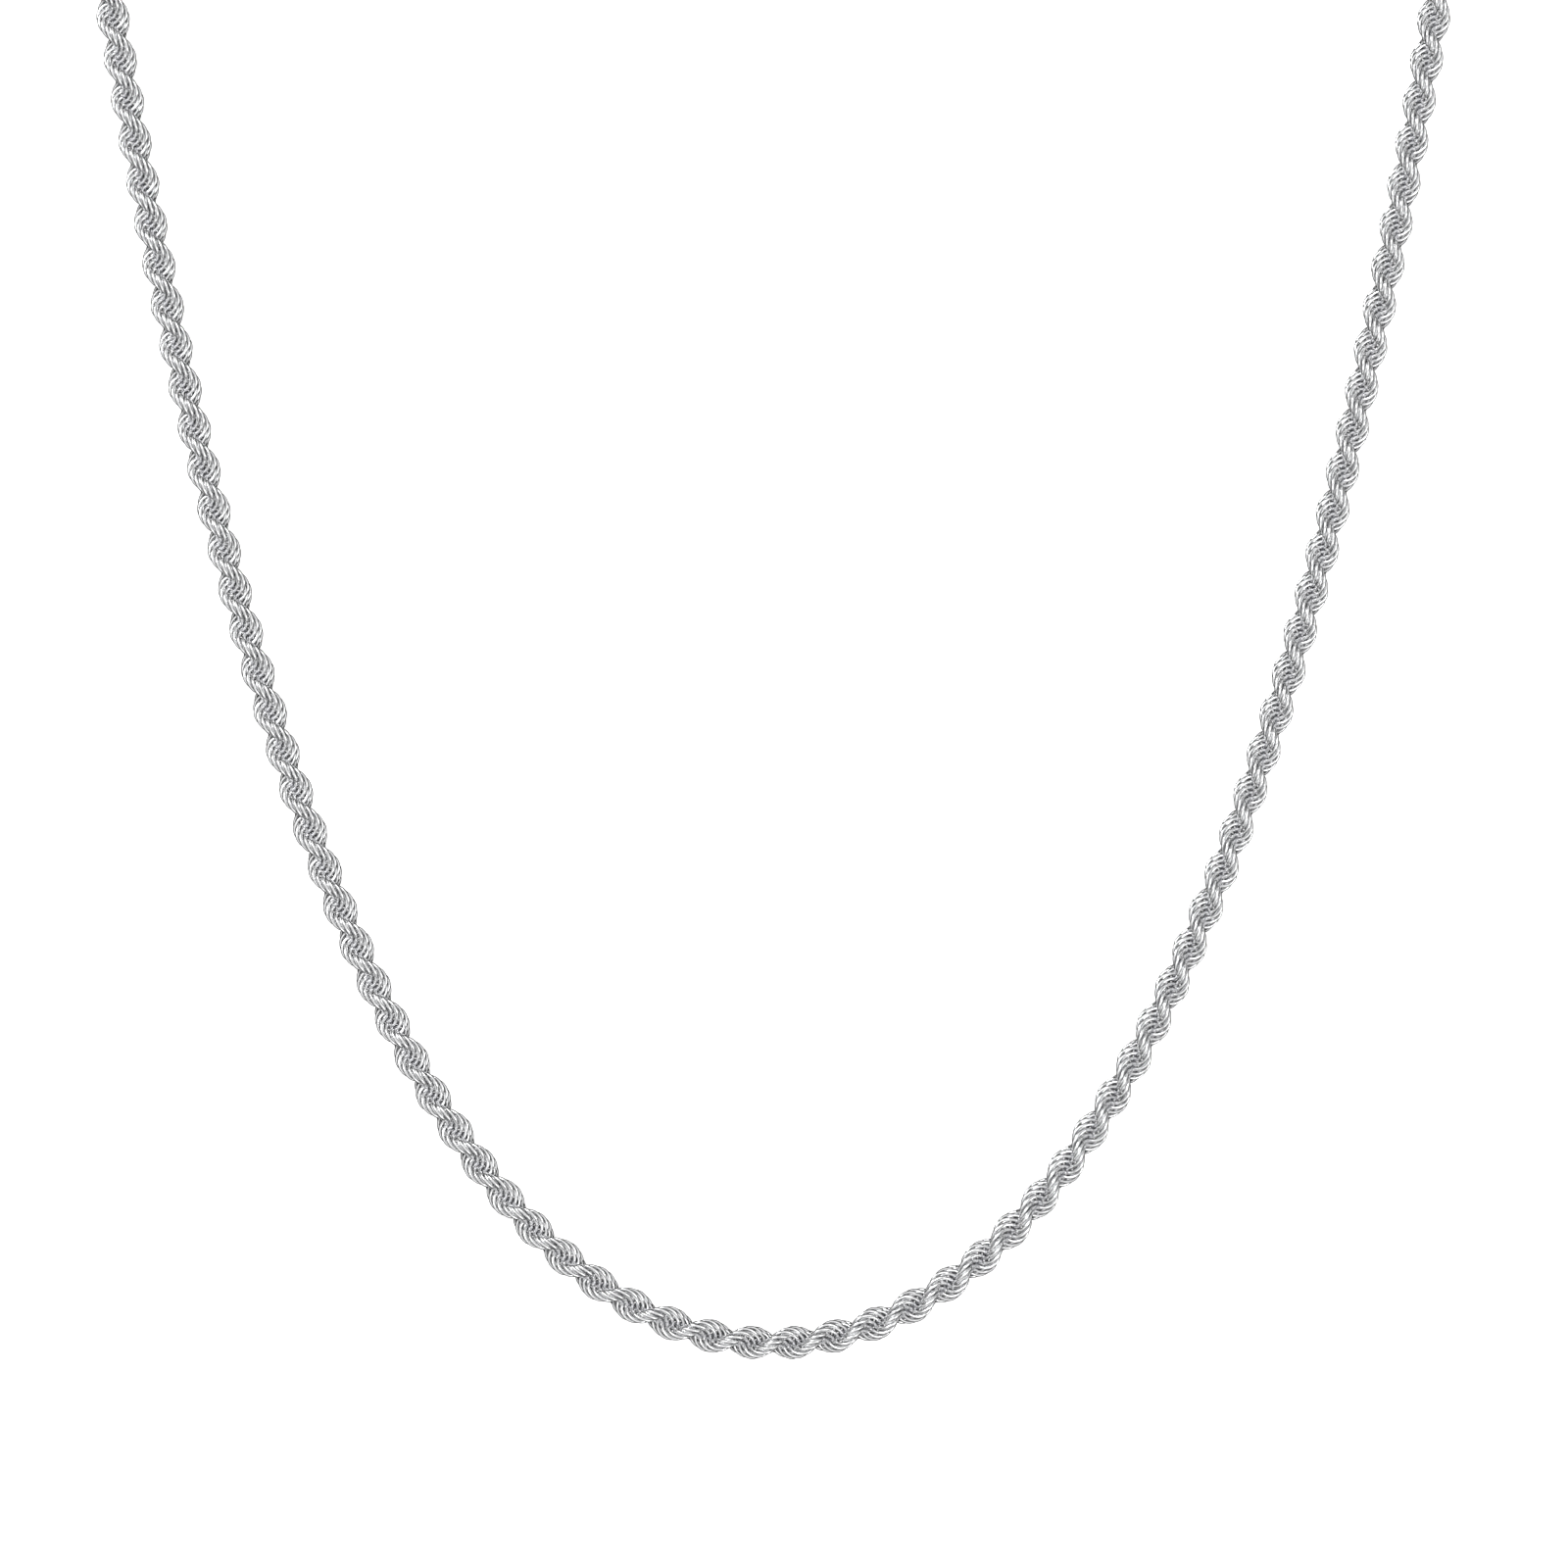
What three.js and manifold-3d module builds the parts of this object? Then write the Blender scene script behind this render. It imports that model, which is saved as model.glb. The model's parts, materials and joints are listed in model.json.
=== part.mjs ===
// Rope-chain necklace, lying flat and unfastened in an open U.
// Millimetres, +Z up. The front of the chain is at low Y, and its two ends are at high Y.
// The rope is cut into short rigid lengths that hinge on each other, as its many rings let it bend.
import * as THREE from 'three';
import { mergeVertices } from 'three/addons/utils/BufferGeometryUtils.js';
import Module from 'manifold-3d';

const wasm = await Module();
wasm.setup();

// ---- rope ----
const SAG = 23.06;              // radius of the U at its lowest point; the U is a catenary
const LOBE = 3.61;              // length of one lobe: half a turn of the twisted rope
const LOBES_PER_LENGTH = 3;     // lobes in each rigid length
const SIDE_LENGTHS = 19;        // rigid lengths on each side of the centre one
const TWIST = -1;               // +1 is a right-hand twist, -1 a left-hand one
const ROPE_R = 1.45;            // centre to the crest of a lobe
const WAIST_R = 0.9;            // centre to the groove between two lobes
const FACETS = 10;              // sides round the rope
const TIP_GAP = 0.06;           // each rigid length stops this far short of its hinge
const TIP_RING = 0.25;          // distance from the hinge to the first ring of the rounded end
const TIP_SHARE = 0.4;          // size of that ring, as a share of the full section
const NECK_R = 0.72;            // turned-down rope end that sits inside a cap
const NECK_LENGTH = 1.8;
const REST_Z = ROPE_R;          // height of the rope's centreline: the lobes touch the table

// ---- ends ----
const CAP_GAP = 0.1;
const CAP_R = 1.38;
const CAP_LENGTH = 3.0;
const CAP_BORE_R = 0.86;
const CAP_BORE_DEPTH = 2.0;
const EYE_R = 1.1;
const EYE_HOLE_R = 0.5;
const EYE_THICK = 0.7;
const EYE_X = CAP_GAP + CAP_LENGTH + 1.0;     // centre of the eye, out from the rope's end
const JUMP_R = 1.12;                          // centre of the jump ring's wire
const JUMP_WIRE_R = 0.24;
const JUMP_X = EYE_X + 1.2;                   // centre of the jump ring
const CLASP_X = JUMP_X + 1.2;                 // centre of the clasp's own eye
const END_RING_R = 2.1;
const END_RING_WIRE_R = 0.4;
const END_RING_DROOP = 14;                    // degrees the end ring leans down to the table

// ---- lobster clasp, measured from the centre of its eye ----
const CLASP_THICK = 2.6;
const SHELL = { x: 6.6, y: 0, a: 4.0, b: 2.9 };
const MOUTH = { x: 7.0, y: 0.1, a: 2.4, b: 1.6 };
const PIN = { x: 4.2, y: -1.1, r: 0.36 };
const PIN_HOLE_R = 0.4;
const LEVER_THICK = 1.1;
const LEVER_SLOT = 1.24;
const LEVER_HALF_WIDTH = 0.4;
const LEVER_HUB_R = 0.8;
const SPRING_STRIP = 0.12;
const SPRING_WIDTH = 0.9;

// Puts the origin at the middle of the footprint.
const FOOTPRINT_X = 0.57;
const FOOTPRINT_Y = 102.502;

const LENGTH = LOBE * LOBES_PER_LENGTH;
const ROPE_END = LENGTH * (SIDE_LENGTHS + 0.5);

const necklace = new THREE.Group();
necklace.name = 'chain_necklace';

// ---- the catenary ----

function curvePoint(s) {
  const x = SAG * Math.asinh(s / SAG);
  const y = Math.sqrt(SAG * SAG + s * s) - SAG;
  return new THREE.Vector3(x - FOOTPRINT_X, y - FOOTPRINT_Y, REST_Z);
}

function curveHeading(s) {
  return Math.atan2(s, SAG);
}

// A point beside the centreline: side is towards the inside of the U, up is away from the table.
function besideCurve(s, side, up) {
  const point = curvePoint(s);
  const heading = curveHeading(s);
  point.x -= Math.sin(heading) * side;
  point.y += Math.cos(heading) * side;
  point.z += up;
  return point;
}

// ---- helpers ----

function silver(tone) {
  return new THREE.MeshStandardMaterial({ color: tone, metalness: 1.0, roughness: 0.16 });
}

function addPiece(name, geometry, material) {
  geometry.deleteAttribute('uv');
  geometry.computeVertexNormals();
  const mesh = new THREE.Mesh(geometry, material);
  mesh.name = name;
  necklace.add(mesh);
}

function toManifold(geometry) {
  const plain = geometry.clone();
  plain.deleteAttribute('uv');
  plain.deleteAttribute('normal');
  const merged = mergeVertices(plain, 1e-5);
  const mesh = new wasm.Mesh({
    numProp: 3,
    vertProperties: new Float32Array(merged.attributes.position.array),
    triVerts: new Uint32Array(merged.index.array),
  });
  return new wasm.Manifold(mesh);
}

function fromManifold(solid) {
  const mesh = solid.getMesh();
  const geometry = new THREE.BufferGeometry();
  geometry.setAttribute('position', new THREE.BufferAttribute(new Float32Array(mesh.vertProperties), 3));
  geometry.setIndex(new THREE.BufferAttribute(new Uint32Array(mesh.triVerts), 1));
  return geometry;
}

function cylinder(radius, height, x, y, z, sides) {
  const geometry = new THREE.CylinderGeometry(radius, radius, height, sides);
  geometry.rotateX(Math.PI / 2);
  geometry.translate(x, y, z);
  return geometry;
}

function block(x0, x1, y0, y1, z0, z1) {
  const geometry = new THREE.BoxGeometry(x1 - x0, y1 - y0, z1 - z0);
  geometry.translate((x0 + x1) / 2, (y0 + y1) / 2, (z0 + z1) / 2);
  return geometry;
}

function torus(ringR, wireR, ringSides, wireSides) {
  return new THREE.TorusGeometry(ringR, wireR, wireSides, ringSides);
}

function ellipsePath(shape, ellipse, sides) {
  const points = [];
  for (let i = 0; i < sides; i += 1) {
    const angle = (2 * Math.PI * i) / sides;
    points.push(new THREE.Vector2(
      ellipse.x + ellipse.a * Math.cos(angle),
      ellipse.y + ellipse.b * Math.sin(angle),
    ));
  }
  shape.setFromPoints(points);
  return shape;
}

// A flat plate of the given outline, centred on height z, with its rims broken by a small bevel.
function plate(shape, thickness, z, bevel) {
  const geometry = new THREE.ExtrudeGeometry(shape, {
    depth: thickness - 2 * bevel,
    bevelEnabled: bevel > 0,
    bevelThickness: bevel,
    bevelSize: bevel,
    bevelOffset: -bevel,
    bevelSegments: 1,
    curveSegments: 8,
  });
  geometry.translate(0, 0, z - thickness / 2 + bevel);
  return geometry;
}

// The outline of a strip of even width that follows a line of points.
function stripOutline(line, halfWidth) {
  const left = [];
  const right = [];
  for (let i = 0; i < line.length; i += 1) {
    const before = line[Math.max(i - 1, 0)];
    const after = line[Math.min(i + 1, line.length - 1)];
    const along = new THREE.Vector2(after[0] - before[0], after[1] - before[1]).normalize();
    left.push(new THREE.Vector2(line[i][0] - along.y * halfWidth, line[i][1] + along.x * halfWidth));
    right.unshift(new THREE.Vector2(line[i][0] + along.y * halfWidth, line[i][1] - along.x * halfWidth));
  }
  return new THREE.Shape([...right, ...left].reverse());
}

// Closes a stack of equal loops into one solid, with a single point at each end.
function solidFromLoops(startPoint, loops, endPoint) {
  const sides = loops[0].length;
  const points = [startPoint, ...loops.flat(), endPoint];
  const last = points.length - 1;
  const index = [];
  for (let j = 0; j < sides; j += 1) {
    const next = (j + 1) % sides;
    index.push(0, 1 + next, 1 + j);
    for (let i = 0; i + 1 < loops.length; i += 1) {
      const a = 1 + i * sides + j;
      const b = 1 + i * sides + next;
      const c = a + sides;
      const d = b + sides;
      if (TWIST > 0) {
        index.push(a, b, d, a, d, c);
      } else {
        index.push(a, b, c, b, d, c);
      }
    }
    const top = 1 + (loops.length - 1) * sides;
    index.push(last, top + j, top + next);
  }
  const geometry = new THREE.BufferGeometry();
  const flat = points.flatMap((p) => [p.x, p.y, p.z]);
  geometry.setAttribute('position', new THREE.BufferAttribute(new Float32Array(flat), 3));
  geometry.setIndex(index);
  return geometry;
}

// ---- rope lengths ----

// Half-width of the two-lobed section, at an angle from the crest of a lobe.
function sectionRadius(angle) {
  const crest = Math.abs(Math.cos(angle));
  return WAIST_R + (ROPE_R - WAIST_R) * Math.pow(crest, 1.3);
}

// The corners of each loop are placed so that one always lies on the crest of a lobe.
function facetAngle(j) {
  return Math.PI / 2 + (2 * Math.PI * j) / FACETS;
}

// One loop round the rope. The lobes stand upright at each hinge and turn with the distance from it.
function ropeLoop(s, hingeS, share) {
  const crest = Math.PI / 2 + (TWIST * Math.PI * (s - hingeS)) / LOBE;
  const loop = [];
  for (let j = 0; j < FACETS; j += 1) {
    const angle = facetAngle(j);
    const radius = share * sectionRadius(angle - crest);
    loop.push(besideCurve(s, radius * Math.cos(angle), radius * Math.sin(angle)));
  }
  return loop;
}

function roundLoop(s, radius) {
  const loop = [];
  for (let j = 0; j < FACETS; j += 1) {
    const angle = facetAngle(j);
    loop.push(besideCurve(s, radius * Math.cos(angle), radius * Math.sin(angle)));
  }
  return loop;
}

// Loops for a rope length from its low end to its high end. A neck replaces the rounded tip at a cap.
function ropeLength(position) {
  const low = (position - 0.5) * LENGTH;
  const high = (position + 0.5) * LENGTH;
  const steps = (LOBES_PER_LENGTH * FACETS) / 2;
  const loops = [];
  for (let i = 1; i < steps; i += 1) {
    loops.push(ropeLoop(low + (LENGTH * i) / steps, low, 1));
  }
  let start = besideCurve(low + TIP_GAP, 0, 0);
  let end = besideCurve(high - TIP_GAP, 0, 0);
  if (position === -SIDE_LENGTHS) {
    loops.unshift(roundLoop(low - NECK_LENGTH, NECK_R), roundLoop(low + 0.2, NECK_R));
    start = besideCurve(low - NECK_LENGTH - 0.1, 0, 0);
  } else {
    loops.unshift(ropeLoop(low + TIP_RING, low, TIP_SHARE));
  }
  if (position === SIDE_LENGTHS) {
    loops.push(roundLoop(high - 0.2, NECK_R), roundLoop(high + NECK_LENGTH, NECK_R));
    end = besideCurve(high + NECK_LENGTH + 0.1, 0, 0);
  } else {
    loops.push(ropeLoop(high - TIP_RING, low, TIP_SHARE));
  }
  return solidFromLoops(start, loops, end);
}

function addRope() {
  addPiece('rope_front_centre', ropeLength(0), silver(0xd9dadd));
  for (let i = 1; i <= SIDE_LENGTHS; i += 1) {
    const number = String(i).padStart(2, '0');
    addPiece(`rope_right_${number}`, ropeLength(i), silver(0xd9dadd));
    addPiece(`rope_left_${number}`, ropeLength(-i), silver(0xd9dadd));
  }
}

// ---- end fittings, drawn along +X from the rope's end and then turned into place ----

function placeAtEnd(geometry, side) {
  const end = curvePoint(side * ROPE_END);
  const heading = curveHeading(ROPE_END);
  geometry.rotateZ(side > 0 ? heading : Math.PI - heading);
  geometry.translate(end.x, end.y, end.z);
  return geometry;
}

// A closed-end cup that is soldered over the end of the rope.
function capCup() {
  const floor = CAP_GAP + CAP_BORE_DEPTH;
  const outer = CAP_GAP + CAP_LENGTH;
  const profile = [
    [0, floor],
    [CAP_BORE_R, floor],
    [CAP_BORE_R, CAP_GAP],
    [CAP_R - 0.14, CAP_GAP],
    [CAP_R, CAP_GAP + 0.25],
    [CAP_R, CAP_GAP + 0.7],
    [CAP_R - 0.16, CAP_GAP + 0.9],
    [CAP_R - 0.16, CAP_GAP + 1.9],
    [CAP_R - 0.3, CAP_GAP + 2.4],
    [CAP_R - 0.7, outer - 0.1],
    [0, outer],
  ].map(([r, x]) => new THREE.Vector2(r, x));
  const cup = new THREE.LatheGeometry(profile, 16);
  cup.rotateZ(-Math.PI / 2);
  return cup;
}

function eyeWithHole(upright) {
  const disc = cylinder(EYE_R, EYE_THICK, 0, 0, 0, 24);
  const hole = cylinder(EYE_HOLE_R, EYE_THICK * 3, 0, 0, 0, 16);
  for (const geometry of [disc, hole]) {
    if (upright) {
      geometry.rotateX(Math.PI / 2);
    }
    geometry.translate(EYE_X, 0, 0);
  }
  return { disc, hole };
}

function addCap(name, side, upright) {
  const { disc, hole } = eyeWithHole(upright);
  const solid = toManifold(capCup()).add(toManifold(disc)).subtract(toManifold(hole));
  addPiece(name, placeAtEnd(fromManifold(solid), side), silver(0xdcdde0));
}

function addJumpRing() {
  const ring = torus(JUMP_R, JUMP_WIRE_R, 24, 8);
  ring.rotateX(Math.PI / 2);
  ring.translate(JUMP_X, 0, 0);
  addPiece('jump_ring', placeAtEnd(ring, 1), silver(0xdfe0e3));
}

// The end ring hangs in the upright eye and leans down until it meets the table.
function addEndRing() {
  const ring = torus(END_RING_R, END_RING_WIRE_R, 36, 10);
  ring.translate(END_RING_R, 0, 0);
  ring.rotateY(THREE.MathUtils.degToRad(END_RING_DROOP));
  ring.translate(EYE_X, 0, 0);
  addPiece('end_ring', placeAtEnd(ring, -1), silver(0xdfe0e3));
}

// ---- lobster clasp ----

function claspOutline() {
  const shell = ellipsePath(new THREE.Shape(), SHELL, 40);
  return plate(shell, CLASP_THICK, CLASP_THICK / 2 - REST_Z, 0.3);
}

function claspShoulder() {
  const shape = new THREE.Shape();
  shape.moveTo(0.9, -0.75);
  shape.lineTo(1.7, -0.8);
  shape.lineTo(3.3, -1.9);
  shape.lineTo(5.0, -2.3);
  shape.lineTo(5.0, 2.3);
  shape.lineTo(3.3, 1.9);
  shape.lineTo(1.7, 0.8);
  shape.lineTo(0.9, 0.75);
  return plate(shape, CLASP_THICK, CLASP_THICK / 2 - REST_Z, 0.2);
}

// The side of the shell that the lever closes, cut so that a lip is left on the hook's tip.
function gateCut() {
  const shape = new THREE.Shape();
  shape.moveTo(4.9, -4);
  shape.lineTo(8.6, -4);
  shape.lineTo(8.6, -1.66);
  shape.lineTo(9.35, -1.66);
  shape.lineTo(9.45, -0.5);
  shape.lineTo(8.0, 0.2);
  shape.lineTo(4.9, 0.2);
  return plate(shape, CLASP_THICK * 3, 0, 0);
}

function addClaspBody() {
  const mouth = plate(ellipsePath(new THREE.Shape(), MOUTH, 32), CLASP_THICK * 3, 0, 0);
  const slot = block(2.75, 6.0, -4, 0.3, -LEVER_SLOT / 2, LEVER_SLOT / 2);
  const pinHole = cylinder(PIN_HOLE_R, CLASP_THICK * 3, PIN.x, PIN.y, 0, 12);
  const eye = cylinder(EYE_R, EYE_THICK, 0, 0, 0, 24);
  const eyeHole = cylinder(EYE_HOLE_R, CLASP_THICK * 3, 0, 0, 0, 16);
  let solid = toManifold(claspOutline()).add(toManifold(claspShoulder()));
  solid = solid.subtract(toManifold(mouth)).subtract(toManifold(gateCut()));
  solid = solid.subtract(toManifold(slot)).subtract(toManifold(pinHole));
  solid = solid.add(toManifold(eye)).subtract(toManifold(eyeHole));
  const body = fromManifold(solid);
  body.translate(CLASP_X, 0, 0);
  addPiece('clasp_body', placeAtEnd(body, 1), silver(0xdcdde0));
}

function addClaspLever() {
  const arm = stripOutline([
    [4.2, -1.1], [5.2, -1.72], [6.4, -1.98], [7.5, -1.75], [8.4, -1.2], [9.1, -1.0],
  ], LEVER_HALF_WIDTH);
  const thumb = new THREE.Shape();
  thumb.moveTo(3.45, -1.2);
  thumb.lineTo(3.3, -3.0);
  thumb.lineTo(3.8, -3.2);
  thumb.lineTo(4.2, -3.0);
  thumb.lineTo(4.9, -1.6);
  let solid = toManifold(plate(arm, LEVER_THICK, 0, 0));
  solid = solid.add(toManifold(cylinder(LEVER_HUB_R, LEVER_THICK, PIN.x, PIN.y, 0, 20)));
  solid = solid.add(toManifold(plate(thumb, LEVER_THICK, 0, 0)));
  solid = solid.subtract(toManifold(cylinder(PIN_HOLE_R, CLASP_THICK, PIN.x, PIN.y, 0, 12)));
  const lever = fromManifold(solid);
  lever.translate(CLASP_X, 0, 0);
  addPiece('clasp_lever', placeAtEnd(lever, 1), silver(0xd6d7da));
}

function addClaspPin() {
  const middle = CLASP_THICK / 2 - REST_Z;
  const pin = cylinder(PIN.r, CLASP_THICK - 0.1, PIN.x + CLASP_X, PIN.y, middle, 12);
  addPiece('clasp_pin', placeAtEnd(pin, 1), silver(0xc9cacd));
}

// A folded strip that pushes the lever shut.
function addClaspSpring() {
  const strip = stripOutline([
    [5.05, 0.12], [4.2, 0.14], [3.35, 0.08], [3.02, -0.06], [3.35, -0.16], [4.2, -0.12], [4.75, -0.42],
  ], SPRING_STRIP / 2);
  const spring = plate(strip, SPRING_WIDTH, 0, 0);
  spring.translate(CLASP_X, 0, 0);
  addPiece('clasp_spring', placeAtEnd(spring, 1), silver(0x9b9da1));
}

addRope();
addCap('end_cap_clasp_side', 1, false);
addCap('end_cap_ring_side', -1, true);
addJumpRing();
addEndRing();
addClaspBody();
addClaspLever();
addClaspPin();
addClaspSpring();

export default necklace;
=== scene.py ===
"""Looks for the rope-chain necklace: rings, polished fittings, stage, lights, camera.

Metres, +Z up. The camera looks straight down at the front of the chain.
"""

import json
import math

import bmesh
import bpy
import numpy as np
from mathutils import Matrix, Vector


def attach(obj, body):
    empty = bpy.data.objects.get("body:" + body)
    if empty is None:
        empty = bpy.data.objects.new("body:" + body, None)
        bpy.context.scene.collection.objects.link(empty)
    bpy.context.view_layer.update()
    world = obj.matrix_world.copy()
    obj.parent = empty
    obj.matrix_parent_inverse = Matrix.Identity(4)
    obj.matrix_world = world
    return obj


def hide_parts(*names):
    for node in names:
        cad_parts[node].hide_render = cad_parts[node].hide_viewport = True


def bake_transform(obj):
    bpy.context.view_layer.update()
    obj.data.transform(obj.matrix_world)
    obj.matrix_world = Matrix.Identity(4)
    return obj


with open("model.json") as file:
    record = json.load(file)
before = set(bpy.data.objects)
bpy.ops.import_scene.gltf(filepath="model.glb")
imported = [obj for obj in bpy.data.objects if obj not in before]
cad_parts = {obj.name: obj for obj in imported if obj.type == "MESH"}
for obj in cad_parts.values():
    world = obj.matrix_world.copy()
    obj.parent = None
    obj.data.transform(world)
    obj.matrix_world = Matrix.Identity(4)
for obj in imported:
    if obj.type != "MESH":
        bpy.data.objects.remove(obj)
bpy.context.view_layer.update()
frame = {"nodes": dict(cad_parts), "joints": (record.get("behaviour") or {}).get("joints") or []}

MM = 0.001

# ---- rope ----
SAG = 23.06 * MM  # radius of the U at its lowest point; the U is a catenary
LOBE = 3.61 * MM  # half a turn of the twisted rope
LENGTH = 3 * LOBE  # one rigid length between two hinges
SIDE_LENGTHS = 19
ROPE_END = LENGTH * (SIDE_LENGTHS + 0.5)

ROPE_R = 1.45 * MM  # centreline to the outside of the rings
WIRE = 0.29 * MM  # thickness of a ring's wire
RING_R = 3.9 * WIRE  # centre of the ring to the centre of its wire
RING_PITCH = LOBE / 16  # from one ring to the next, along the rope
RING_OFFSET = ROPE_R - RING_R - WIRE / 2  # the rope's centreline to a ring's centre
RING_AZIMUTH = math.radians(106)  # the way a ring faces, round the rope
RING_ELEVATION = math.radians(4)  # and how far that leans along it
RING_PHASE = math.radians(70)  # turns the whole rope, which moves its lobes along
TURN_PER_RING = math.pi - math.pi * RING_PITCH / LOBE  # half a turn, less the twist
RING_SIDES = 30
WIRE_SIDES = 8
ROPE_IN_CAP = 0.3 * MM  # the last ring's centre lies this far past the rope's end
SQUEEZE_LENGTH = 4.0 * MM  # the rings close up over this length to enter a cap
SQUEEZE_EVEN = 1.0 * MM  # the last of it, where they shrink no further
SQUEEZE = 0.82  # their size there

# ---- end fittings, with X measured outward from the rope's end ----
LATHE_SIDES = 48
EYE_X = 4.1 * MM
EYE_R, EYE_HALF_WIDTH, EYE_HALF_HEIGHT = 0.8, 0.3, 0.35  # millimetres
EYE_SIDES, EYE_SECTION_SIDES = 48, 16
JUMP_X = 5.3 * MM
JUMP_R, JUMP_WIRE_R = 1.12 * MM, 0.24 * MM
JUMP_SIDES, JUMP_WIRE_SIDES = 64, 16
END_R, END_WIRE_R = 2.1 * MM, 0.4 * MM
END_TILT = math.radians(14)  # the end ring's far side hangs down to the table
END_SIDES, END_WIRE_SIDES = 96, 20

# ---- stage ----
FLOOR_HALF = 3.0
FLOOR_Z = -0.02 * MM
FLOOR_TONE = 0.93
FLOOR_GLOW = 0.85  # lifts the floor and backdrop to the pale page of a product picture
WORLD_STRENGTH = 0.62
LIGHT_AIM = (0, -0.04, 0)
CAMERA_PLACE = (0.345 * MM, -54.25 * MM, 0.753)
CAMERA_LENS, CAMERA_SENSOR = 200, 36


# ---------------------------------------------------------------- mesh helpers


def mesh_object(name, verts, faces, material, smooth=True):
    mesh = bpy.data.meshes.new(name)
    mesh.from_pydata([tuple(v) for v in verts], [], faces)
    mesh.update()
    if smooth:
        mesh.shade_smooth()
    mesh.materials.append(material)
    obj = bpy.data.objects.new(name, mesh)
    bpy.context.scene.collection.objects.link(obj)
    return obj


def grid_faces(loops, sides, closed_loops=True):
    """Quads between successive loops; the last loop joins the first if closed_loops."""
    rows = loops if closed_loops else loops - 1
    faces = []
    for i in range(rows):
        a, b = i * sides, ((i + 1) % loops) * sides
        for j in range(sides):
            n = (j + 1) % sides
            faces.append((a + j, b + j, b + n, a + n))
    return faces


def torus_points(ring_r, wire_r, ring_sides, wire_sides):
    """A ring about the Z axis."""
    points = np.zeros((ring_sides * wire_sides, 3))
    for i in range(ring_sides):
        turn = 2 * math.pi * i / ring_sides
        for j in range(wire_sides):
            roll = 2 * math.pi * j / wire_sides
            out = ring_r + wire_r * math.cos(roll)
            points[i * wire_sides + j] = (
                out * math.cos(turn),
                out * math.sin(turn),
                wire_r * math.sin(roll),
            )
    return points


def transformed(points, matrix):
    m = np.array(matrix)
    return points @ m[:3, :3].T + m[:3, 3]


# ---------------------------------------------------------------- the rope's curve

hinges = {j["name"]: Vector(j["pos_m"]) for j in frame["joints"]}
first_right = hinges["rope_right_01_bend"]
first_left = hinges["rope_left_01_bend"]
centre_x = (first_right.x + first_left.x) / 2
half_length_rise = math.sqrt(SAG**2 + (LENGTH / 2) ** 2) - SAG
front_y = first_right.y - half_length_rise
rope_z = first_right.z


def curve_point(s):
    return Vector(
        (
            centre_x + SAG * math.asinh(s / SAG),
            front_y + math.sqrt(SAG**2 + s**2) - SAG,
            rope_z,
        )
    )


def curve_frame(s):
    """Columns: towards the inside of the U, up, along the rope."""
    heading = math.atan2(s, SAG)
    along = Vector((math.cos(heading), math.sin(heading), 0))
    inward = Vector((-math.sin(heading), math.cos(heading), 0))
    up = Vector((0, 0, 1))
    m = Matrix((inward, up, along)).transposed().to_4x4()
    m.translation = curve_point(s)
    return m


# ---------------------------------------------------------------- materials


def new_material(name):
    mat = bpy.data.materials.new(name)
    mat.use_nodes = True
    tree = mat.node_tree
    return mat, tree, tree.nodes["Principled BSDF"]


def noise(tree, coords, scale, detail):
    node = tree.nodes.new("ShaderNodeTexNoise")
    node.inputs["Scale"].default_value = scale
    node.inputs["Detail"].default_value = detail
    tree.links.new(coords, node.inputs["Vector"])
    return node.outputs["Fac"]


def ramp(tree, value, stops):
    node = tree.nodes.new("ShaderNodeValToRGB")
    elements = node.color_ramp.elements
    while len(elements) < len(stops):
        elements.new(0.5)
    for element, (place, colour) in zip(elements, stops):
        element.position = place
        element.color = (*colour, 1)
    tree.links.new(value, node.inputs["Fac"])
    return node.outputs["Color"]


def silver(name, tone, roughness, painted_crevice_shade=False):
    """Polished silver: fine scratches, uneven polish and a little tarnish.

    With the crevice shade on, the colour is darkened by the crest attribute where it lies deep
    inside the rope: painted shade in the rope's hollows.
    """
    mat, tree, shader = new_material(name)
    coords = tree.nodes.new("ShaderNodeTexCoord").outputs["Object"]
    tarnish = noise(tree, coords, 900, 3)
    colour = ramp(
        tree,
        tarnish,
        [
            (0.35, tuple(c * 0.93 for c in tone)),
            (0.6, tone),
        ],
    )
    # painted shade: the colour grows darker towards the rope's axis, in the hollows between the
    # rings
    if painted_crevice_shade:
        depth = tree.nodes.new("ShaderNodeAttribute")
        depth.attribute_name = "crest"
        shade = ramp(
            tree,
            depth.outputs["Fac"],
            [(0.1, (0.75, 0.75, 0.76)), (0.6, (1, 1, 1))],
        )
        mix = tree.nodes.new("ShaderNodeMix")
        mix.data_type = "RGBA"
        mix.blend_type = "MULTIPLY"
        mix.inputs["Factor"].default_value = 1
        tree.links.new(colour, mix.inputs["A"])
        tree.links.new(shade, mix.inputs["B"])
        colour = mix.outputs["Result"]
    tree.links.new(colour, shader.inputs["Base Color"])
    shader.inputs["Metallic"].default_value = 1
    polish = noise(tree, coords, 2600, 4)
    spread = tree.nodes.new("ShaderNodeMapRange")
    spread.inputs["To Min"].default_value = roughness * 0.75
    spread.inputs["To Max"].default_value = roughness * 1.35
    tree.links.new(polish, spread.inputs["Value"])
    tree.links.new(spread.outputs["Result"], shader.inputs["Roughness"])
    scratch = noise(tree, coords, 9000, 2)
    bump = tree.nodes.new("ShaderNodeBump")
    bump.inputs["Strength"].default_value = 0.05
    bump.inputs["Distance"].default_value = 0.02 * MM
    tree.links.new(scratch, bump.inputs["Height"])
    tree.links.new(bump.outputs["Normal"], shader.inputs["Normal"])
    return mat


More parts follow.
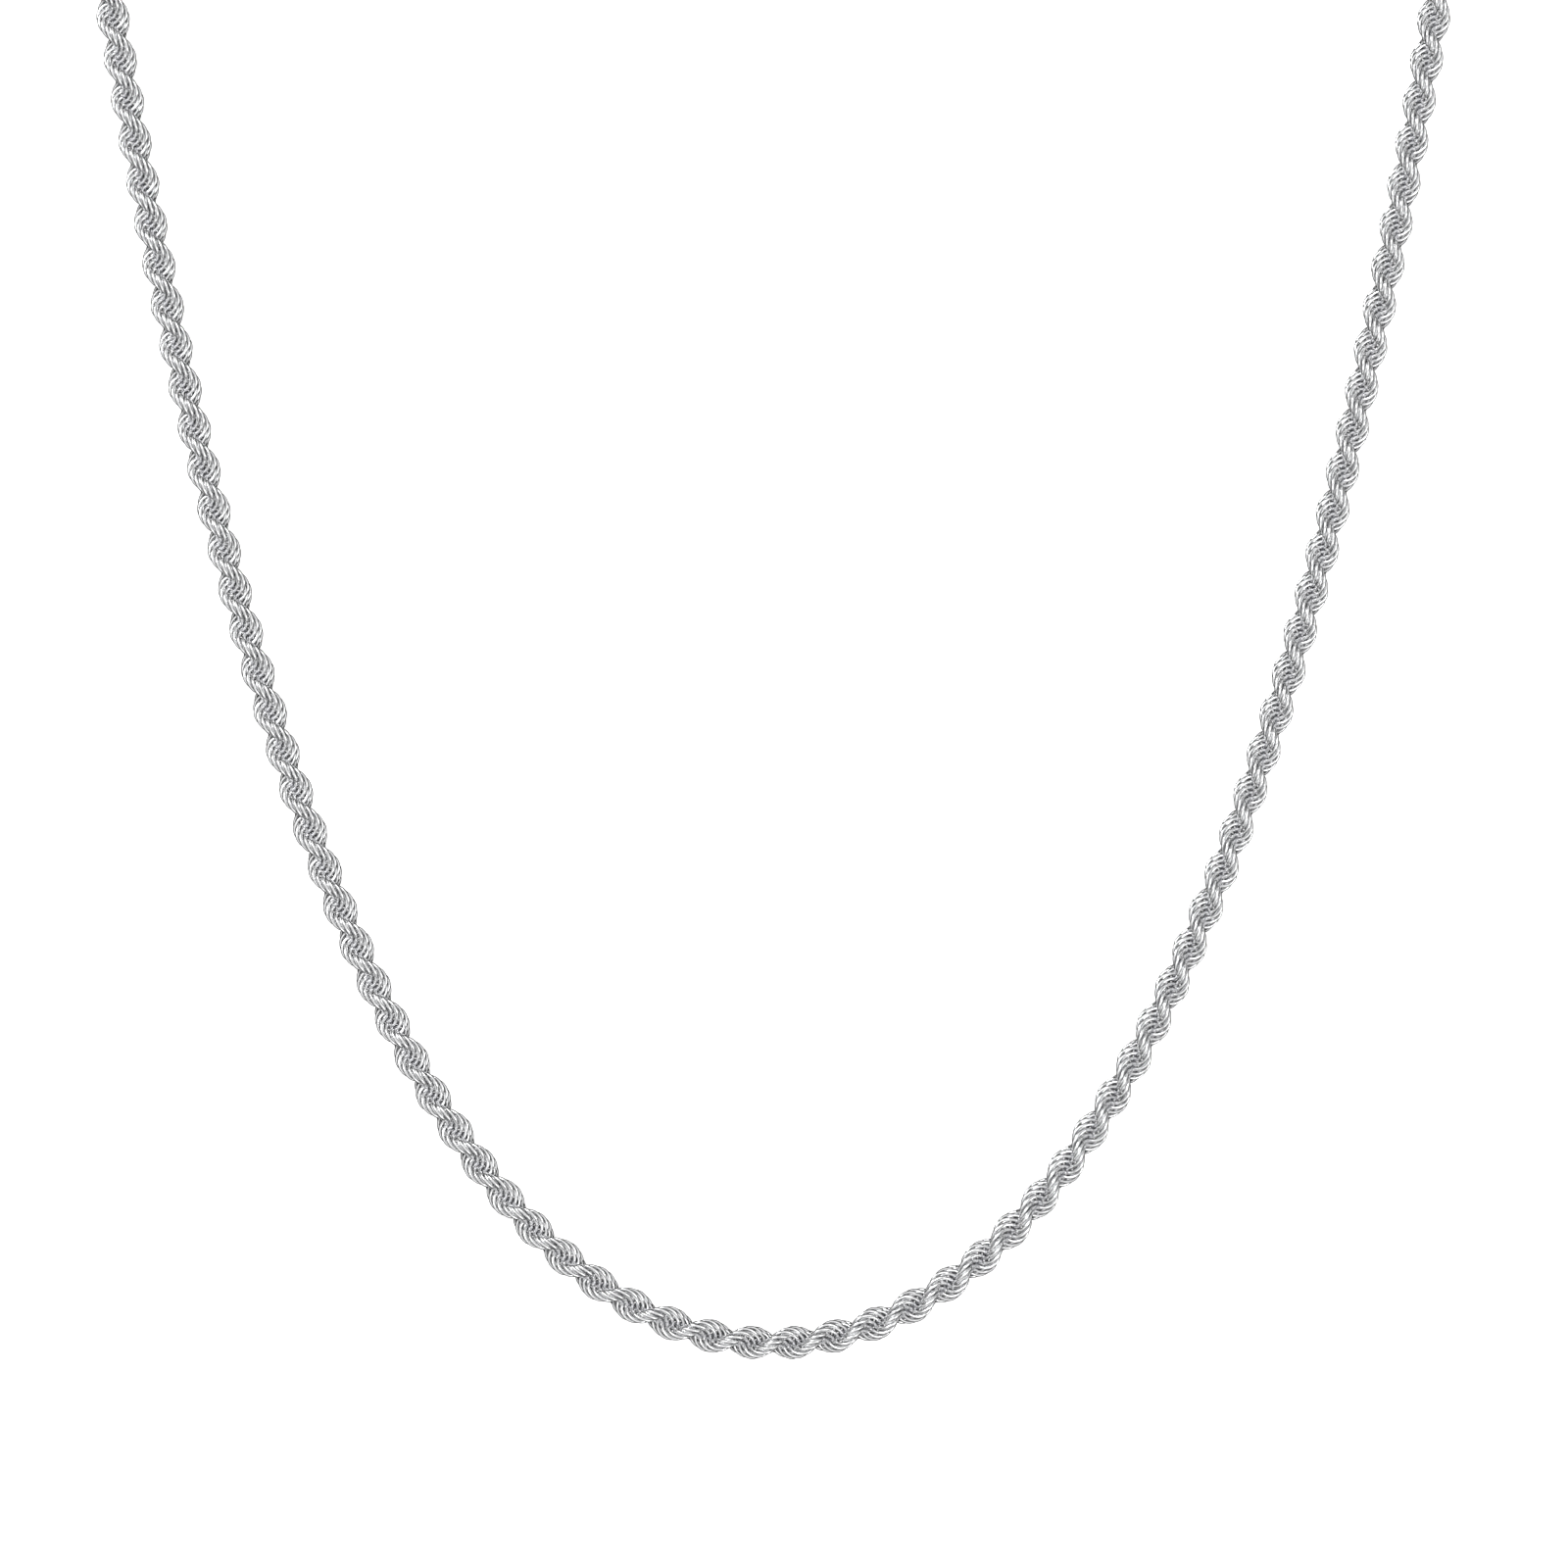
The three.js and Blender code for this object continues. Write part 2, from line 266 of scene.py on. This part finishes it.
# the rings' colour carries painted shade in the rope's hollows
ring_silver = silver("ring_silver", (0.93, 0.933, 0.94), 0.13, painted_crevice_shade=True)
fitting_silver = silver("fitting_silver", (0.88, 0.885, 0.895), 0.12)
pin_silver = silver("pin_silver", (0.78, 0.785, 0.8), 0.2)
spring_metal = silver("spring_metal", (0.45, 0.455, 0.47), 0.28)


# ---------------------------------------------------------------- rope rings

facing = Vector(
    (
        math.cos(RING_ELEVATION) * math.cos(RING_AZIMUTH),
        math.cos(RING_ELEVATION) * math.sin(RING_AZIMUTH),
        math.sin(RING_ELEVATION),
    )
)
ring_pose = Matrix.Translation((RING_OFFSET, 0, 0)) @ facing.to_track_quat(
    "Z", "Y"
).to_matrix().to_4x4()
one_ring = transformed(
    torus_points(RING_R, WIRE / 2, RING_SIDES, WIRE_SIDES), ring_pose
)
ring_quads = np.array(grid_faces(RING_SIDES, WIRE_SIDES))
# how far out from the rope's axis each point of a ring lies; low values get painted shade in the
# ring material
ring_crest = np.hypot(one_ring[:, 0], one_ring[:, 1]) / ROPE_R
last_ring = int((ROPE_END + ROPE_IN_CAP) / RING_PITCH)


def squeeze_at(s):
    """The rings' scale at s: 1 along the rope, falling to SQUEEZE at a cap."""
    into = abs(s) - ROPE_END + SQUEEZE_LENGTH
    t = min(1, max(0, into / (SQUEEZE_LENGTH - SQUEEZE_EVEN)))
    return 1 - (1 - SQUEEZE) * t * t * (3 - 2 * t)


def ring_group(name, low, high):
    """The rings whose centres lie between two places along the rope, as one mesh."""
    verts, faces, crest = [], [], []
    for k in range(-last_ring, last_ring + 1):
        s = k * RING_PITCH
        if not low <= s < high:
            continue
        turn = Matrix.Rotation(RING_PHASE + k * TURN_PER_RING, 4, "Z")
        place = curve_frame(s) @ turn
        faces.append(ring_quads + len(verts) * len(one_ring))
        verts.append(transformed(one_ring * squeeze_at(s), place))
        crest.append(ring_crest)
    obj = mesh_object(
        name, np.concatenate(verts), np.concatenate(faces).tolist(), ring_silver
    )
    attribute = obj.data.attributes.new("crest", "FLOAT", "POINT")
    attribute.data.foreach_set("value", np.concatenate(crest).astype(np.float32))
    return obj


def rope_node(position):
    if position == 0:
        return "rope_front_centre"
    side = "right" if position > 0 else "left"
    return f"rope_{side}_{abs(position):02d}"


for position in range(-SIDE_LENGTHS, SIDE_LENGTHS):
    a, b = rope_node(position), rope_node(position + 1)
    start, end = position * LENGTH, (position + 1) * LENGTH
    name = f"rings_{a}_to_{b}".replace("rope_", "")
    rings = ring_group(name, start, end)
    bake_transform(rings)
    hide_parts(a, b)

for side in (-1, 1):
    node = rope_node(side * SIDE_LENGTHS)
    near, far = side * SIDE_LENGTHS * LENGTH, side * (ROPE_END + LOBE)
    rings = ring_group(
        f"rings_{node}_to_cap".replace("rope_", ""), min(near, far), max(near, far)
    )
    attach(rings, node)


# ---------------------------------------------------------------- end fittings


def end_frame(side):
    """A frame at the rope's end: X outward along the rope, Z up."""
    heading = math.atan2(ROPE_END, SAG)
    if side < 0:
        heading = math.pi - heading
    return Matrix.Translation(curve_point(side * ROPE_END)) @ Matrix.Rotation(
        heading, 4, "Z"
    )


def lathe_x(profile, sides):
    """A profile of (x, radius) pairs turned about the X axis and closed at both ends."""
    verts = []
    for x, r in profile:
        for j in range(sides):
            turn = 2 * math.pi * j / sides
            verts.append((x, r * math.cos(turn), r * math.sin(turn)))
    faces = grid_faces(len(profile), sides, closed_loops=False)
    faces = [tuple(reversed(f)) for f in faces]
    first = list(range(sides))
    last = [(len(profile) - 1) * sides + j for j in range(sides)]
    faces.append(tuple(reversed(first)) if profile[0][1] > 0 else tuple(first))
    faces.append(tuple(last))
    return np.array(verts), faces


def fitting(name, verts, faces, side, body, node):
    """A polished piece, given in its end's frame, that stands for one CAD node."""
    obj = mesh_object(name, transformed(verts, end_frame(side)), faces, fitting_silver)
    work = bmesh.new()
    work.from_mesh(obj.data)
    bmesh.ops.recalc_face_normals(work, faces=work.faces)
    work.to_mesh(obj.data)
    work.free()
    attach(obj, body)
    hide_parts(node)


def cap_profile():
    """The cup: its bore from the bottom out, its rolled mouth, then its outside."""
    mm = [
        (2.4, 0.02),
        (2.4, 0.8),
        (1.9, 1.1),
        (1.6, 1.15),
        (0.9, 1.16),
        (0.7, 1.25),
        (0.2, 1.25),
        (0.13, 1.27),
        (0.1, 1.31),
        (0.15, 1.345),
        (0.22, 1.365),
        (0.34, 1.38),
        (0.72, 1.38),
        (0.86, 1.35),
        (0.95, 1.28),
        (1.02, 1.22),
        (1.16, 1.2),
        (1.3, 1.22),
        (1.42, 1.23),
        (1.95, 1.22),
        (2.25, 1.16),
        (2.5, 1.05),
        (2.75, 0.88),
        (2.95, 0.66),
        (3.06, 0.42),
        (3.1, 0.02),
    ]
    return [(x * MM, r * MM) for x, r in mm]


def eye_points(upright):
    """A flat-sided ring with rounded rims, centred on the eye."""
    section = []
    for j in range(EYE_SECTION_SIDES):
        roll = 2 * math.pi * j / EYE_SECTION_SIDES
        c, s = math.cos(roll), math.sin(roll)
        section.append(
            (
                EYE_R + EYE_HALF_WIDTH * math.copysign(abs(c) ** 0.7, c),
                EYE_HALF_HEIGHT * math.copysign(abs(s) ** 0.6, s),
            )
        )
    verts = []
    for i in range(EYE_SIDES):
        turn = 2 * math.pi * i / EYE_SIDES
        for r, h in section:
            x, y, z = r * math.cos(turn), r * math.sin(turn), h
            if upright:
                y, z = -z, y
            verts.append((EYE_X + x * MM, y * MM, z * MM))
    return np.array(verts), grid_faces(EYE_SIDES, EYE_SECTION_SIDES)


for side, node, upright in (
    (1, "end_cap_clasp_side", False),
    (-1, "end_cap_ring_side", True),
):
    body = rope_node(side * SIDE_LENGTHS)
    verts, faces = lathe_x(cap_profile(), LATHE_SIDES)
    fitting(f"cup_{node}", verts, faces, side, body, node)
    verts, faces = eye_points(upright)
    fitting(f"eye_{node}", verts, faces, side, body, node)

jump = transformed(
    torus_points(JUMP_R, JUMP_WIRE_R, JUMP_SIDES, JUMP_WIRE_SIDES),
    Matrix.Translation((JUMP_X, 0, 0)) @ Matrix.Rotation(math.pi / 2, 4, "X"),
)
jump_faces = grid_faces(JUMP_SIDES, JUMP_WIRE_SIDES)
fitting("jump_ring_wire", jump, jump_faces, 1, "jump_ring", "jump_ring")

end_ring = transformed(
    torus_points(END_R, END_WIRE_R, END_SIDES, END_WIRE_SIDES),
    Matrix.Translation((EYE_X, 0, 0))
    @ Matrix.Rotation(END_TILT, 4, "Y")
    @ Matrix.Translation((END_R, 0, 0)),
)
end_faces = grid_faces(END_SIDES, END_WIRE_SIDES)
fitting("end_ring_wire", end_ring, end_faces, -1, "end_ring", "end_ring")


# ---------------------------------------------------------------- lobster clasp


def cast_from(node, name, body, material, grain, rounds):
    """A smooth cast version of a CAD node, rebuilt in small faces with rounded edges."""
    source = frame["nodes"][node]
    copy = bpy.data.objects.new(name, source.data.copy())
    bpy.context.scene.collection.objects.link(copy)
    remesh = copy.modifiers.new("remesh", "REMESH")
    remesh.mode = "VOXEL"
    remesh.voxel_size = grain
    smooth = copy.modifiers.new("smooth", "SMOOTH")
    smooth.factor = 0.5
    smooth.iterations = rounds
    bpy.context.view_layer.update()
    graph = bpy.context.evaluated_depsgraph_get()
    mesh = bpy.data.meshes.new_from_object(copy.evaluated_get(graph))
    copy.modifiers.clear()
    copy.data = mesh
    mesh.materials.clear()
    mesh.materials.append(material)
    mesh.shade_smooth()
    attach(copy, body)
    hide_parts(node)


cast_from("clasp_body", "clasp_body_cast", "clasp", fitting_silver, 0.06 * MM, 36)
cast_from(
    "clasp_lever", "clasp_lever_cast", "clasp_lever", fitting_silver, 0.045 * MM, 16
)
cast_from("clasp_pin", "clasp_pin_peened", "clasp", pin_silver, 0.04 * MM, 5)
cast_from(
    "clasp_spring", "clasp_spring_strip", "clasp", spring_metal, 0.02 * MM, 2,
)


# ---------------------------------------------------------------- stage


def floor_and_backdrop():
    """A pale floor with a pale wall on all sides; polished metal reflects neither."""
    mat, _, shader = new_material("floor_white")
    shader.inputs["Base Color"].default_value = (FLOOR_TONE, FLOOR_TONE, FLOOR_TONE, 1)
    shader.inputs["Roughness"].default_value = 0.9
    shader.inputs["Specular IOR Level"].default_value = 0.1
    shader.inputs["Emission Color"].default_value = (1, 1, 1, 1)
    shader.inputs["Emission Strength"].default_value = FLOOR_GLOW
    corners = [(-1, -1), (1, -1), (1, 1), (-1, 1)]
    points = [
        (x * FLOOR_HALF, y * FLOOR_HALF, z) for z in (0, FLOOR_HALF) for x, y in corners
    ]
    obj = mesh_object("floor", points[:4], [(0, 1, 2, 3)], mat, smooth=False)
    obj.location.z = FLOOR_Z
    obj.visible_glossy = False
    faces = [(i, (i + 1) % 4, (i + 1) % 4 + 4, i + 4) for i in range(4)]
    wall = mesh_object("wall", points, faces, mat, smooth=False)
    wall.location.z = FLOOR_Z
    wall.visible_glossy = False
    wall.visible_diffuse = False
    wall.visible_shadow = False


def studio_world():
    """A soft studio, bright overhead and dark low down to edge the wires in black."""
    world = bpy.data.worlds.new("studio")
    bpy.context.scene.world = world
    world.use_nodes = True
    tree = world.node_tree
    coords = tree.nodes.new("ShaderNodeTexCoord")
    split = tree.nodes.new("ShaderNodeSeparateXYZ")
    tree.links.new(coords.outputs["Generated"], split.inputs[0])
    height = tree.nodes.new("ShaderNodeMapRange")
    height.inputs["From Min"].default_value = -1
    tree.links.new(split.outputs["Z"], height.inputs["Value"])
    stops = [
        (0.0, 0.01), (0.05, 0.01), (0.2, 0.04), (0.35, 0.03), (0.45, 0.01),
        (0.5, 0.01), (0.57, 0.02), (0.62, 0.3),
        (0.68, 1.9), (0.8, 0.5), (0.9, 1.9), (1.0, 1.1),
    ]
    colour = ramp(tree, height.outputs["Result"], [(p, (v, v, v)) for p, v in stops])
    background = tree.nodes["Background"]
    tree.links.new(colour, background.inputs["Color"])
    background.inputs["Strength"].default_value = WORLD_STRENGTH


def soft_light(name, place, aim, size, power):
    data = bpy.data.lights.new(name, "AREA")
    data.shape = "RECTANGLE"
    data.size, data.size_y = size
    data.energy = power
    obj = bpy.data.objects.new(name, data)
    bpy.context.scene.collection.objects.link(obj)
    obj.location = place
    direction = Vector(aim) - Vector(place)
    obj.rotation_euler = direction.to_track_quat("-Z", "Y").to_euler()


floor_and_backdrop()
studio_world()
soft_light("key", (-0.35, 0.25, 0.5), LIGHT_AIM, (0.25, 0.4), 1.5)
soft_light("fill", (0.4, -0.3, 0.45), LIGHT_AIM, (0.3, 0.3), 0.7)

camera_data = bpy.data.cameras.new("camera")
camera_data.lens = CAMERA_LENS
camera_data.sensor_width = CAMERA_SENSOR
camera = bpy.data.objects.new("camera", camera_data)
bpy.context.scene.collection.objects.link(camera)
camera.location = CAMERA_PLACE
bpy.context.scene.camera = camera
bpy.context.scene.view_settings.view_transform = "Standard"
